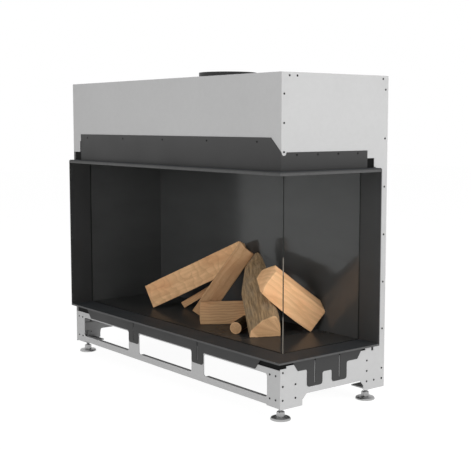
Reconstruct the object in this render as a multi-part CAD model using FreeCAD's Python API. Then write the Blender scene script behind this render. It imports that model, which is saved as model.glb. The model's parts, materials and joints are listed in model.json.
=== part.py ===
import FreeCAD, Part
import math
import os

# Gas fireplace insert for a right-hand corner: the front and the right side are glazed.
# Millimetres, +Z up. Origin on the floor, under the middle of the outer box.
# "front", "back", "left", "right" and "base" below are the casing's own faces.

# Casing of galvanised sheet
casing_width = 1200.0
casing_depth = 440.0
casing_height = 978.0
casing_sheet = 2.0
hood_edge = 725.0
hood_front_edge = 765.5
hood_strip = 47.6
foot_drop = 45.0

# Legs and top edges of the two side panels
leg_drop = 6.0
front_leg = 88.0
front_leg_slope = 17.0
leg_straight = 11.0
leg_taper = 2.0
rear_leg = 93.0
rear_leg_slope = 15.0
bridge_height = 28.0
bridge_round = 8.0
side_base_top = 123.0
side_notch_top = 116.0
side_notch_width = 24.0
side_tab_width = 27.0
side_tab_top = 131.0
side_tab_foot = 118.0
side_tab_gap = 7.0
column_front = 381.0

# Base front panel with its three windows
base_front_top = 112.0
end_post = 60.0
post_width = 67.5
window_count = 3
window_low = 21.5
window_high = 93.0
window_round = 9.0
window_lip = 12.0

# Black built-in frame: ledges, end plates, upstands and skirts
trim_projection = 26.5
trim_sheet = 3.0
trim_left_inset = 10.0
trim_rear_back = 389.0
ledge_top = 143.4
ledge_lip = 5.9
header_top = 694.7
header_lip = 11.7
header_bend = 6.0
frame_sheet = 2.0
web_gap = 0.3
web_lap = 4.0
upstand_front_top = 791.0
upstand_side_top = 749.0
upstand_left_inset = 58.0
upstand_corner_run = 45.0
upstand_rear = 349.0
upstand_notch = 10.0
upstand_notch_round = 9.0
skirt_low = 97.0
skirt_left_inset = 112.0
skirt_right_inset = 115.0
skirt_end_run = 36.0
tongue_width = 62.0
tongue_front_low = 56.0
tongue_side_low = 47.0
tongue_round = 9.0
tongue_root_round = 7.0
tongue_slit = 3.6
slit_margin = 10.0
side_skirt_low = 101.5
side_skirt_front = 69.0
side_skirt_rear = 316.0
side_skirt_run = 28.0
side_tongue_first = 137.0
side_tongue_pitch = 102.5
side_tongue_gap_top = 85.0

# Corner glass, its channels and seals
glass_inset = 60.5
glass_thickness = 4.0
glass_gap = 0.5
channel_sheet = 1.5
glass_bite = 5.4
seal_height = 4.0

# Firebox
firebox_sheet = 3.0
firebox_top_level = 743.0

# Floor rails and foot brackets
rail_width = 20.0
rail_height = 26.0
front_rail_back = 110.0
rail_gap = 0.3
bracket_sheet = 4.0
bracket_width = 62.0
bracket_depth = 80.0
bracket_height = 60.0

# Levelling feet
foot_inset_x = 32.0
foot_front_inset = 30.0
foot_rear_inset = 52.0
pad_radius = 31.0
pad_rim = 3.0
pad_dome = 5.0
pad_dome_radius = 17.5
pad_height = 8.0
pad_neck_radius = 16.0
stud_radius = 6.0
stud_length = 70.0
hex_across = 22.0
hex_height = 16.0
thread_clearance = 0.05

# Concentric flue spigot
flue_outer_radius = 100.0
flue_inner_radius = 65.0
flue_wall = 1.2
flue_from_front = 275.0
flue_stand = 28.0
flue_step = 0.8
flue_shoulder = 4.0
pipe_clearance = 0.3

# Combustion air box on the firebox and the flat duct behind it
air_box_width = 300.0
air_box_front = 130.0
air_box_height = 60.0
air_sheet = 1.5
air_duct_depth = 40.0

# Pressure relief hatches on the firebox top
hatch_width = 130.0
hatch_depth = 140.0
hatch_sheet = 3.0
hatch_overlap = 12.0
hatch_front = 120.0
hatch_side_inset = 190.0
hatch_gap = 0.3
hatch_pin_radius = 3.0
hatch_knuckle_radius = 6.0
hatch_lug_width = 8.0
running_clearance = 0.05

# Burner, pilot and gas control
burner_length = 260.0
burner_width = 50.0
burner_depth = 25.0
burner_wall = 1.5
burner_flange = 8.0
burner_from_front = 325.0
burner_from_right = 640.0
burner_gap = 0.5
port_radius = 1.5
port_pitch = 20.0
port_row = 14.0
nozzle_radius = 8.0
nozzle_length = 14.0
pipe_radius = 5.0
pipe_bend = 20.0
pilot_gap = 22.0
pilot_plate = 34.0
pilot_plate_sheet = 2.0
pilot_tube_radius = 4.0
pilot_height = 32.0
pilot_hood_radius = 6.5
pilot_rod_pitch = 11.0
pilot_rod_radius = 1.5
pilot_rod_height = 40.0
insulator_radius = 3.0
insulator_height = 20.0
valve_width = 100.0
valve_depth = 50.0
valve_height = 56.0
valve_low = 55.0
valve_from_left = 150.0
valve_round = 6.0
knob_radius = 14.0
knob_length = 16.0
knob_pitch = 44.0
knob_stand = 4.0
spindle_radius = 3.0
inlet_bore_radius = 7.5
inlet_thread_length = 14.0
inlet_radius = 13.0
inlet_length = 22.0

# Screws
screw_head_radius = 3.2
screw_head_height = 1.3
screw_shank_radius = 2.0
screw_length = 7.0
screw_edge = 10.0
side_screw_pitch = 41.5
side_screw_low = 22.0
rear_leg_screw_pitch = 33.5
rear_screw_edge = 12.0
rear_screw_pitch = 150.5
rear_screw_low = 183.0
base_screw_insets = (20.5, 47.0)
base_screw_edge = 20.5
upstand_screw_pitch_front = 246.5
upstand_screw_pitch_side = 83.0
upstand_screw_drop = 8.0
upstand_screw_drop_front = 13.0

# Ceramic logs. Angles are in degrees: heading from +X, rise above the floor, roll about the log's own axis.
# "stand" is where the lower end is, measured from the side glass and from the front glass.
notch_clearance = 0.5
log_round = 3.0
back_log = dict(length=424.0, width=90.0, thickness=42.0, heading=29.5, rise=26.2, roll=-6.0,
                upper_bevel=10.0, lower_bevel=22.0, stand=(869.0, 95.0))
plank_log = dict(length=291.0, width=65.5, thickness=34.0, heading=57.0, rise=55.1, roll=-4.0,
                 upper_bevel=8.0, lower_bevel=4.0, front_room=70.0, stand=(548.0, 95.0))
floor_log = dict(length=250.0, width=80.0, thickness=56.0, heading=56.0, rise=0.0, roll=0.0,
                 upper_bevel=10.0, lower_bevel=6.0, stand=(497.0, 60.0))
splinter = dict(length=150.0, width=25.0, thickness=12.0, heading=48.0, rise=31.2, roll=0.0,
                upper_bevel=3.0, lower_bevel=2.0, stand=(782.0, 188.0))
bark_log = dict(length=352.0, width=106.0, thickness=102.0, heading=152.0, rise=35.0, roll=0.0,
                waist_share=0.57, waist_taper=0.92, taper=0.5, bend=18.0, stand=(207.0, 108.0))
leaning_log = dict(length=263.0, width=87.0, thickness=84.0, heading=88.0, rise=-36.9, roll=13.3,
                   upper_bevel=17.0, taper=1.2, stand=(167.0, 96.0))
branch = dict(length=120.0, radius=20.0, heading=125.0, stand=(302.0, 60.0))

# Faces that the rest is placed from
right = (casing_width + screw_head_height - trim_projection) / 2
left = right - casing_width
front = (trim_projection - casing_depth) / 2
back = front + casing_depth
base = foot_drop
top = base + casing_height
ledge_level = base + ledge_top
header_level = base + header_top
chamber_left = left + trim_left_inset + trim_sheet
chamber_back = front + trim_rear_back - trim_sheet
glass_back = glass_inset + glass_thickness
web_front = casing_sheet + web_gap
web_back = web_front + trim_sheet
floor_right = right - glass_back - 2 * channel_sheet - glass_gap
floor_front = front + glass_back + 2 * channel_sheet + glass_gap
firebox_top = base + firebox_top_level
flue_x = (left + right) / 2
flue_y = front + flue_from_front

nodes = {}


def vec(x, y, z):
    return FreeCAD.Vector(x, y, z)


def box(x0, x1, y0, y1, z0, z1):
    """A block between two corners."""
    return Part.makeBox(x1 - x0, y1 - y0, z1 - z0, vec(x0, y0, z0))


def outline(points, lift):
    """A closed wire through (u, v) or (u, v, radius) corners; lift turns (u, v) into a point in space."""
    flat = [FreeCAD.Vector(p[0], p[1], 0) for p in points]
    radii = [p[2] if len(p) > 2 else 0.0 for p in points]
    stops = []
    for i, corner in enumerate(flat):
        to_last = (flat[i - 1] - corner).normalize()
        to_next = (flat[(i + 1) % len(flat)] - corner).normalize()
        half = to_last.getAngle(to_next) / 2
        run = radii[i] / math.tan(half)
        middle = corner
        if radii[i]:
            middle = corner + (to_last + to_next).normalize() * (radii[i] / math.sin(half) - radii[i])
        stops.append((corner + to_last * run, middle, corner + to_next * run))
    edges = []
    for i, (start, middle, end) in enumerate(stops):
        if radii[i]:
            edges.append(Part.Arc(*[lift(p.x, p.y) for p in (start, middle, end)]).toShape())
        following = stops[(i + 1) % len(stops)][0]
        edges.append(Part.LineSegment(lift(end.x, end.y), lift(following.x, following.y)).toShape())
    return Part.Wire(edges)


def plate_x(points, x0, x1):
    """A sheet square to X, with its outline in (y, z)."""
    wire = outline(points, lambda u, v: vec(x0, u, v))
    return Part.Face(wire).extrude(vec(x1 - x0, 0, 0))


def plate_y(points, y0, y1):
    """A sheet square to Y, with its outline in (x, z)."""
    wire = outline(points, lambda u, v: vec(u, y0, v))
    return Part.Face(wire).extrude(vec(0, y1 - y0, 0))


def plate_z(points, z0, z1):
    """A sheet square to Z, with its outline in (x, y)."""
    wire = outline(points, lambda u, v: vec(u, v, z0))
    return Part.Face(wire).extrude(vec(0, 0, z1 - z0))


def rod(start, direction, radius, length):
    return Part.makeCylinder(radius, length, start, direction)


def tube(start, direction, outer, inner, length):
    return rod(start, direction, outer, length).cut(rod(start, direction, inner, length))


def turned(profile, x, y):
    """A body turned about a vertical axis from an (r, z) profile."""
    wire = Part.makePolygon([vec(x + r, y, z) for r, z in profile + profile[:1]])
    return Part.Face(wire).revolve(vec(x, y, 0), vec(0, 0, 1), 360)


def corner_run(profile, left_end, rear_end):
    """A section of (distance inwards, height) corners, run along the front and the side with a mitre."""
    outer = right + 2 * trim_projection
    far = casing_width + casing_depth
    front_leg_run = plate_x([(front + p[0],) + tuple(p[1:]) for p in profile], left_end, outer)
    side_points = [(right - p[0],) + tuple(p[1:]) for p in profile]
    side_leg_run = plate_y(side_points, front - 2 * trim_projection, rear_end)
    side_zone = [(right + far, front - far), (right + far, front + far), (right - far, front + far)]
    front_zone = [(right + far, front - far), (right - far, front + far), (right - far, front - far)]
    low = base - far
    front_leg_run = front_leg_run.cut(plate_z(side_zone, low, low + 2 * far))
    side_leg_run = side_leg_run.cut(plate_z(front_zone, low, low + 2 * far))
    return front_leg_run, side_leg_run


def screw(seat, inwards):
    """A flat-headed screw whose head lies on the seat point and whose shank runs inwards."""
    head = rod(seat - inwards * screw_head_height, inwards, screw_head_radius, screw_head_height)
    return head.fuse(rod(seat, inwards, screw_shank_radius, screw_length)).removeSplitter()


def drill(shape, seats, inwards):
    """Cut the clearance hole of every screw in the list."""
    radius = screw_shank_radius + running_clearance
    holes = [rod(s - inwards * screw_length, inwards, radius, 3 * screw_length) for s in seats]
    return shape.cut(Part.makeCompound(holes))


def side_panel_outline(front_slope):
    """A full sheet that stands on two legs, with the lean of the front leg's rear edge. Corners in (y, z)."""
    front_leg_back = front + front_leg + front_leg_slope - front_slope
    return [
        (front, base - leg_drop),
        (front_leg_back, base - leg_drop),
        (front_leg_back, base + leg_straight),
        (front + front_leg + front_leg_slope, base + bridge_height, bridge_round),
        (back - rear_leg - rear_leg_slope, base + bridge_height),
        (back - rear_leg, base + leg_straight),
        (back - rear_leg, base - leg_drop),
        (back, base - leg_drop),
        (back, top),
        (front, top),
    ]


def glazed_side_outline():
    """Right side panel: hood, rear column and base around the glazed side."""
    slot_low = header_level + frame_sheet
    column_low = front + trim_rear_back + glass_gap
    tab_back = column_low - side_tab_gap - frame_sheet
    tab_front = tab_back - side_tab_width
    return side_panel_outline(front_leg_slope) + [
        (front, base + hood_edge),
        (front + column_front, base + hood_edge),
        (front + column_front, slot_low),
        (column_low, slot_low),
        (column_low, base + side_tab_foot),
        (tab_back, base + side_tab_foot),
        (tab_back, base + side_tab_top),
        (tab_front, base + side_tab_top),
        (tab_front, base + side_base_top),
        (front + side_notch_width, base + side_base_top),
        (front + side_notch_width, base + side_notch_top),
        (front, base + side_notch_top),
    ]


def side_screw_places():
    """(y, z) of the screws that both side panels share."""
    front_row = [base + side_screw_low + i * side_screw_pitch for i in range(3)]
    hood_row_top = top - 1.5 * side_screw_pitch
    hood_row = [hood_row_top - 2 * i * side_screw_pitch for i in range(3)]
    rear_row = [base + rear_screw_low + i * rear_screw_pitch for i in range(6)]
    rear_leg_row = [base + side_screw_low + i * rear_leg_screw_pitch for i in range(3)]
    places = [(front + screw_edge, z) for z in front_row + hood_row]
    places += [(back - rear_screw_edge, z) for z in rear_row + rear_leg_row[:2]]
    places += [(front + 6 * screw_edge, z) for z in front_row[:2]]
    places += [(back - rear_leg + 1.4 * screw_edge, z) for z in rear_leg_row]
    places += [(back - rear_leg / 2, front_row[0])]
    places += [(front + n * 3 * screw_edge, top - screw_edge) for n in (1, 2)]
    places += [(back - 2 * rear_screw_edge, top - screw_edge)]
    return places


def window_edges():
    """(left, right) of every window in the base front panel."""
    width = (casing_width - 2 * end_post - (window_count - 1) * post_width) / window_count
    starts = [left + end_post + i * (width + post_width) for i in range(window_count)]
    return [(x, x + width) for x in starts]


def post_middles():
    edges = window_edges()
    return [(edges[i][1] + edges[i + 1][0]) / 2 for i in range(window_count - 1)]


def make_casing():
    inner_left = left + casing_sheet
    inner_right = right - casing_sheet
    inner_front = front + casing_sheet
    inner_back = back - casing_sheet

    right_seats = [vec(right, y, z) for y, z in side_screw_places()]
    left_seats = [vec(left, y, z) for y, z in side_screw_places()]
    right_panel = plate_x(glazed_side_outline(), inner_right, right)
    left_panel = plate_x(side_panel_outline(leg_taper), left, inner_left)
    nodes["right_side_panel"] = drill(right_panel, right_seats, vec(-1, 0, 0))
    nodes["left_side_panel"] = drill(left_panel, left_seats, vec(1, 0, 0))

    strip_left = left + hood_strip
    strip_right = right - hood_strip
    hood_points = [
        (inner_left, top),
        (inner_left, base + hood_edge),
        (strip_left, base + hood_edge),
        (strip_left, base + hood_front_edge),
        (strip_right, base + hood_front_edge),
        (strip_right, base + hood_edge),
        (inner_right, base + hood_edge),
        (inner_right, top),
    ]
    hood = plate_y(hood_points, front, inner_front)
    nodes["hood_front_panel"] = drill(hood, upstand_front_seats(), vec(0, 1, 0))

    lid = box(inner_left, inner_right, inner_front, inner_back, top - casing_sheet, top)
    hole_radius = flue_outer_radius - flue_step + pipe_clearance
    flue_foot = vec(flue_x, flue_y, base)
    nodes["hood_top_panel"] = lid.cut(rod(flue_foot, vec(0, 0, 1), hole_radius, casing_height))

    rear = box(inner_left, inner_right, inner_back, back, base, top)
    inlet = vec(valve_middle(), inner_back - casing_sheet, inlet_level())
    nodes["rear_panel"] = rear.cut(rod(inlet, vec(0, 1, 0), inlet_radius + pipe_clearance, 3 * casing_sheet))

    base_panel = box(inner_left, inner_right, front, inner_front, base, base + base_front_top)
    for x0, x1 in window_edges():
        low = base + window_low
        high = base + window_high
        corners = [(x, z, window_round) for x, z in ((x0, low), (x1, low), (x1, high), (x0, high))]
        opening = plate_y(corners, front - casing_sheet, inner_front + casing_sheet)
        base_panel = base_panel.cut(opening)
        lip = box(x0 + window_round, x1 - window_round, front, inner_front + window_lip,
                  low - casing_sheet, low)
        base_panel = base_panel.fuse(lip)
    base_panel = drill(base_panel.removeSplitter(), base_front_seats(), vec(0, 1, 0))
    nodes["base_front_panel"] = base_panel

    screws = [screw(s, vec(-1, 0, 0)) for s in right_seats]
    screws += [screw(s, vec(1, 0, 0)) for s in left_seats]
    screws += [screw(s, vec(0, 1, 0)) for s in base_front_seats()]
    return screws


def base_front_seats():
    xs = [left + i for i in base_screw_insets] + [right - i for i in base_screw_insets]
    zs = (base + base_screw_edge, base + window_high)
    return [vec(x, front, z) for x in xs for z in zs]


def upstand_front_seats():
    """Screw seats along the front upstand, on the casing's front face."""
    z = base + upstand_front_top - upstand_screw_drop_front
    xs = [flue_x + (i - 2) * upstand_screw_pitch_front for i in range(5)]
    return [vec(x, front, z) for x in xs]


def upstand_side_seats():
    z = base + upstand_side_top - upstand_screw_drop
    first = front + upstand_rear - upstand_screw_pitch_side / 2
    return [vec(right, first - i * upstand_screw_pitch_side, z) for i in range(4)]


def make_built_in_frame():
    underside = ledge_level - trim_sheet
    trim_left = left + trim_left_inset
    trim_rear = front + trim_rear_back
    inner_edge = glass_inset - glass_gap
    web_low = base + base_front_top - web_lap
    web_high = base + hood_edge + web_lap

    ledge = [
        (-trim_projection, ledge_level),
        (inner_edge, ledge_level),
        (inner_edge, underside),
        (web_back, underside),
        (web_back, web_low),
        (web_front, web_low),
        (web_front, underside),
        (trim_sheet - trim_projection, underside),
        (trim_sheet - trim_projection, ledge_level - ledge_lip),
        (-trim_projection, ledge_level - ledge_lip),
    ]
    ledge_front, ledge_side = corner_run(ledge, trim_left, trim_rear)
    nodes["front_bottom_trim"] = ledge_front
    nodes["side_bottom_trim"] = ledge_side

    header_under = header_level - trim_sheet
    left_plate = box(trim_left, trim_left + trim_sheet, front - trim_projection, front + inner_edge,
                     ledge_level, header_under)
    rear_plate = box(right - inner_edge, right + trim_projection, trim_rear - trim_sheet, trim_rear,
                     ledge_level, header_under)
    nodes["left_end_trim"] = left_plate
    nodes["rear_end_trim"] = rear_plate

    header = [
        (-trim_projection, header_level, header_bend),
        (web_front, header_level),
        (web_front, web_high),
        (web_back, web_high),
        (web_back, header_level),
        (inner_edge, header_level),
        (inner_edge, header_under),
        (trim_sheet - trim_projection, header_under, header_bend - trim_sheet),
        (trim_sheet - trim_projection, header_level - header_lip),
        (-trim_projection, header_level - header_lip),
    ]
    header_front, header_side = corner_run(header, trim_left, trim_rear)
    nodes["front_top_trim"] = header_front.cut(left_plate)
    nodes["side_top_trim"] = header_side.cut(rear_plate)

    upstand_front = [
        (left + upstand_left_inset, header_level),
        (right, header_level),
        (right, base + upstand_side_top),
        (right - upstand_corner_run, base + upstand_front_top),
        (left + upstand_left_inset, base + upstand_front_top),
    ]
    panel = plate_y(upstand_front, front - frame_sheet, front)
    nodes["front_upstand"] = drill(panel, upstand_front_seats(), vec(0, 1, 0))

    upstand_side = [
        (front - frame_sheet, header_level),
        (front + upstand_rear, header_level),
        (front + upstand_rear, base + upstand_side_top),
        (front + 2 * upstand_notch, base + upstand_side_top),
        (front + 2 * upstand_notch, base + upstand_side_top - upstand_notch, upstand_notch_round),
        (front, base + upstand_side_top - upstand_notch, upstand_notch_round),
        (front, base + upstand_side_top),
        (front - frame_sheet, base + upstand_side_top),
    ]
    panel = plate_x(upstand_side, right, right + frame_sheet)
    nodes["side_upstand"] = drill(panel, upstand_side_seats(), vec(-1, 0, 0))

    front_heads = [s - vec(0, frame_sheet, 0) for s in upstand_front_seats()]
    side_heads = [s + vec(frame_sheet, 0, 0) for s in upstand_side_seats()]
    nodes["right_side_panel"] = drill(nodes["right_side_panel"], upstand_side_seats(), vec(-1, 0, 0))
    return [screw(s, vec(0, 1, 0)) for s in front_heads] + [screw(s, vec(-1, 0, 0)) for s in side_heads]


def skirt_with_tongues(start, end, low, run, tongues, tongue_low, gap_top):
    """Corners of a skirt: slanted ends, and a rounded tongue round each middle in the list."""
    high = ledge_level - trim_sheet
    points = [(start - run, high), (start, low)]
    for i, middle in enumerate(tongues):
        before = low if i == 0 else gap_top
        after = low if i == len(tongues) - 1 else gap_top
        points += [
            (middle - tongue_width / 2, before, tongue_root_round),
            (middle - tongue_width / 2, tongue_low, tongue_round),
            (middle + tongue_width / 2, tongue_low, tongue_round),
            (middle + tongue_width / 2, after, tongue_root_round),
        ]
    return points + [(end, low), (end + run, high)]


def make_skirts():
    slit_high = ledge_level - trim_sheet - slit_margin
    low = base + skirt_low
    posts = post_middles()
    points = skirt_with_tongues(left + skirt_left_inset, right - skirt_right_inset, low, skirt_end_run,
                                posts, base + tongue_front_low, low)
    skirt = plate_y(points, front - frame_sheet, front)
    half = tongue_slit / 2
    for x in posts:
        skirt = skirt.cut(box(x - half, x + half, front - 2 * frame_sheet, front + frame_sheet,
                              base + tongue_front_low + slit_margin, slit_high))
    nodes["front_skirt"] = skirt

    middles = [front + side_tongue_first + i * side_tongue_pitch for i in range(2)]
    points = skirt_with_tongues(front + side_skirt_front, front + side_skirt_rear, base + side_skirt_low,
                                side_skirt_run, middles, base + tongue_side_low, base + side_tongue_gap_top)
    skirt = plate_x(points, right, right + frame_sheet)
    for y in middles:
        skirt = skirt.cut(box(right - frame_sheet, right + 2 * frame_sheet, y - half, y + half,
                              base + tongue_side_low + slit_margin, slit_high))
    nodes["side_skirt"] = skirt


def make_glazing():
    glass_low = ledge_level - glass_bite
    glass_high = header_level + glass_bite
    outer = glass_inset - glass_gap
    inner = glass_back + glass_gap
    wall = channel_sheet
    channel_low = glass_low - seal_height
    channel_high = glass_high + seal_height
    rear_end = chamber_back

    lower = [
        (outer - wall, channel_low - wall),
        (inner + wall, channel_low - wall),
        (inner + wall, ledge_level),
        (inner, ledge_level),
        (inner, channel_low),
        (outer, channel_low),
        (outer, ledge_level - trim_sheet),
        (outer - wall, ledge_level - trim_sheet),
    ]
    upper = [
        (outer - wall, header_level),
        (outer, header_level),
        (outer, channel_high),
        (inner, channel_high),
        (inner, header_level - trim_sheet),
        (inner + wall, header_level - trim_sheet),
        (inner + wall, channel_high + wall),
        (outer - wall, channel_high + wall),
    ]
    for name, profile in (("lower_glass_channel", lower), ("upper_glass_channel", upper)):
        legs = corner_run(profile, chamber_left, rear_end)
        nodes[name] = legs[0].fuse(legs[1]).removeSplitter()

    seals = []
    for low in (channel_low, glass_high):
        strip = [(outer, low), (inner, low), (inner, low + seal_height), (outer, low + seal_height)]
        seals += corner_run(strip, chamber_left, rear_end)
    nodes["glass_seals"] = Part.makeCompound(seals)

    glass_right = right - glass_inset
    front_y = front + glass_inset
    nodes["front_glass"] = box(chamber_left + glass_gap, glass_right, front_y, front_y + glass_thickness,
                               glass_low, glass_high)
    side_start = front_y + glass_thickness + glass_gap
    nodes["side_glass"] = box(glass_right - glass_thickness, glass_right, side_start, rear_end - glass_gap,
                              glass_low, glass_high)


def hatch_places():
    """(left, front) corner of the two relief hatches."""
    return [(left + hatch_side_inset, front + hatch_front),
            (right - hatch_side_inset - hatch_width, front + hatch_front)]


def make_firebox():
    sheet = firebox_sheet
    floor_low = ledge_level - sheet
    floor = box(chamber_left, floor_right, floor_front, chamber_back, floor_low, ledge_level)
    half_length = burner_length / 2 + burner_gap
    half_width = burner_width / 2 + burner_gap
    middle_x = right - burner_from_right
    middle_y = front + burner_from_front
    floor = floor.cut(box(middle_x - half_length, middle_x + half_length, middle_y - half_width,
                          middle_y + half_width, floor_low - sheet, ledge_level + sheet))
    nodes["firebox_floor"] = floor

    shell_low = floor_low
    shell_high = firebox_top - sheet
    nodes["firebox_back_wall"] = box(chamber_left - sheet, right - glass_inset + glass_gap, chamber_back,
                                     chamber_back + sheet, shell_low, shell_high)
    nodes["firebox_left_wall"] = box(chamber_left - sheet, chamber_left, front + glass_inset - glass_gap,
                                     chamber_back, shell_low, shell_high)

    channel_roof = header_level + glass_bite + seal_height + channel_sheet
    collar = [(glass_inset, channel_roof), (glass_inset + sheet, channel_roof),
              (glass_inset + sheet, shell_high), (glass_inset, shell_high)]
    legs = corner_run(collar, chamber_left, chamber_back)
    nodes["firebox_header"] = legs[0].fuse(legs[1]).removeSplitter()

    roof = box(chamber_left - sheet, right - glass_inset, front + glass_inset, chamber_back + sheet,
               shell_high, firebox_top)
    flue_hole_radius = flue_inner_radius - flue_wall - flue_shoulder
    roof = roof.cut(rod(vec(flue_x, flue_y, shell_high), vec(0, 0, 1), flue_hole_radius, sheet))
    for x, y in hatch_places():
        roof = roof.cut(box(x + hatch_overlap, x + hatch_width - hatch_overlap, y + hatch_overlap,
                            y + hatch_depth - hatch_overlap, shell_high - sheet, firebox_top + sheet))
        for lug_x in (x - hatch_lug_width - hatch_gap, x + hatch_width + hatch_gap):
            roof = roof.fuse(hatch_lug(lug_x, y + hatch_depth))
    nodes["firebox_top"] = roof.removeSplitter()

    rail_low = floor_low - rail_height
    channel_under = ledge_level - glass_bite - seal_height - channel_sheet - rail_gap
    step = box(floor_right - rail_gap, right, front, back, channel_under, ledge_level)
    rails = []
    for rail_back in (front + front_rail_back, chamber_back):
        rail = box(left + casing_sheet, right - web_back - rail_gap, rail_back - rail_width, rail_back,
                   rail_low, floor_low)
        rails.append(rail.cut(step))
    nodes["floor_rails"] = Part.makeCompound(rails)


def hatch_axis_height():
    return firebox_top + hatch_gap + hatch_knuckle_radius


def hatch_lug(x, y):
    """An ear on the firebox top that holds one end of a hatch's pin."""
    height = hatch_axis_height()
    half = hatch_knuckle_radius
    ear = box(x, x + hatch_lug_width, y - half, y + half, firebox_top, height)
    ear = ear.fuse(rod(vec(x, y, height), vec(1, 0, 0), half, hatch_lug_width))
    return ear.cut(rod(vec(x, y, height), vec(1, 0, 0), hatch_pin_radius, hatch_lug_width))


def make_hatches():
    pins = []
    for name, (x, y) in zip(("left_relief_hatch", "right_relief_hatch"), hatch_places()):
        low = firebox_top + hatch_gap
        axis_y = y + hatch_depth
        height = hatch_axis_height()
        flap = box(x, x + hatch_width, y, axis_y, low, low + hatch_sheet)
        knuckle = rod(vec(x, axis_y, height), vec(1, 0, 0), hatch_knuckle_radius, hatch_width)
        bore = rod(vec(x, axis_y, height), vec(1, 0, 0), hatch_pin_radius + running_clearance, hatch_width)
        nodes[name] = flap.fuse(knuckle).cut(bore).removeSplitter()
        pin_length = hatch_width + 2 * (hatch_lug_width + hatch_gap)
        pin_start = vec(x - hatch_lug_width - hatch_gap, axis_y, height)
        pins.append(rod(pin_start, vec(1, 0, 0), hatch_pin_radius, pin_length))
    nodes["hatch_hinge_pins"] = Part.makeCompound(pins)


def make_flue():
    up = vec(0, 0, 1)
    flue_top = top + flue_stand
    foot = vec(flue_x, flue_y, firebox_top)
    inner_bore = flue_inner_radius - flue_wall
    nodes["flue_inner_spigot"] = tube(foot, up, flue_inner_radius, inner_bore, flue_top - firebox_top)

    box_roof = firebox_top + air_box_height
    neck = flue_outer_radius - flue_step
    bore = neck - flue_wall
    collar = [(bore, box_roof), (neck, box_roof), (neck, top), (flue_outer_radius, top),
              (flue_outer_radius, flue_top), (bore, flue_top)]
    nodes["flue_outer_spigot"] = turned(collar, flue_x, flue_y)

    x0 = flue_x - air_box_width / 2
    x1 = flue_x + air_box_width / 2
    y0 = front + air_box_front
    wall_back = chamber_back + firebox_sheet
    y1 = wall_back + air_duct_depth
    shell = box(x0, x1, y0, y1, firebox_top, box_roof)
    shell = shell.cut(box(x0 + air_sheet, x1 - air_sheet, y0 + air_sheet, y1 - air_sheet,
                          firebox_top, box_roof - air_sheet))
    shell = shell.cut(rod(vec(flue_x, flue_y, firebox_top), up, bore, 2 * air_box_height))
    duct_low = ledge_level - firebox_sheet - rail_height
    duct = box(x0, x1, wall_back, y1, duct_low, firebox_top)
    duct = duct.cut(box(x0 + air_sheet, x1 - air_sheet, wall_back + air_sheet, y1 - air_sheet,
                        duct_low, firebox_top))
    nodes["combustion_air_duct"] = shell.fuse(duct).removeSplitter()


def make_feet():
    brackets = []
    places = {
        "front_left": (left + foot_inset_x, front + foot_front_inset, 1),
        "front_right": (right - foot_inset_x, front + foot_front_inset, -1),
        "rear_left": (left + foot_inset_x, back - foot_rear_inset, 1),
        "rear_right": (right - foot_inset_x, back - foot_rear_inset, -1),
    }
    for name, (x, y, inwards) in places.items():
        wall = x - inwards * (foot_inset_x - casing_sheet)
        y0 = front + casing_sheet if "front" in name else back - casing_sheet - bracket_depth
        xs = sorted((wall, wall + inwards * bracket_width))
        shelf = box(xs[0], xs[1], y0, y0 + bracket_depth, base - bracket_sheet, base)
        xs = sorted((wall, wall + inwards * bracket_sheet))
        upright = box(xs[0], xs[1], y0, y0 + bracket_depth, base, base + bracket_height)
        hole = rod(vec(x, y, 0), vec(0, 0, 1), stud_radius + thread_clearance, 2 * base)
        brackets.append(shelf.fuse(upright).cut(hole).removeSplitter())

        pad = [(0, 0), (pad_radius, 0), (pad_radius, pad_rim), (pad_dome_radius, pad_dome),
               (pad_neck_radius, pad_height), (0, pad_height)]
        nodes[name + "_foot_pad"] = turned(pad, x, y)
        corner_radius = hex_across / math.sqrt(3)
        turns = [math.radians(60 * i) for i in range(6)]
        corners = [(x + corner_radius * math.cos(a), y + corner_radius * math.sin(a)) for a in turns]
        nut = plate_z(corners, pad_height, pad_height + hex_height)
        shank = rod(vec(x, y, pad_height), vec(0, 0, 1), stud_radius, stud_length)
        nodes[name + "_foot_stud"] = nut.fuse(shank).removeSplitter()

    clear = [screw_clearance(s) for s in side_seats_inside()]
    nodes["foot_brackets"] = Part.makeCompound([b.cut(Part.makeCompound(clear)) for b in brackets])


def side_seats_inside():
    """Seats of the side screws, with the way each one points."""
    places = side_screw_places()
    seats = [(vec(right, y, z), vec(-1, 0, 0)) for y, z in places]
    seats += [(vec(left, y, z), vec(1, 0, 0)) for y, z in places]
    return seats


def screw_clearance(seat):
    place, inwards = seat
    return rod(place, inwards, screw_shank_radius + running_clearance, 2 * screw_length)


def valve_middle():
    return left + valve_from_left + valve_width / 2


def inlet_level():
    return base + valve_low + valve_height / 2


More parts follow.
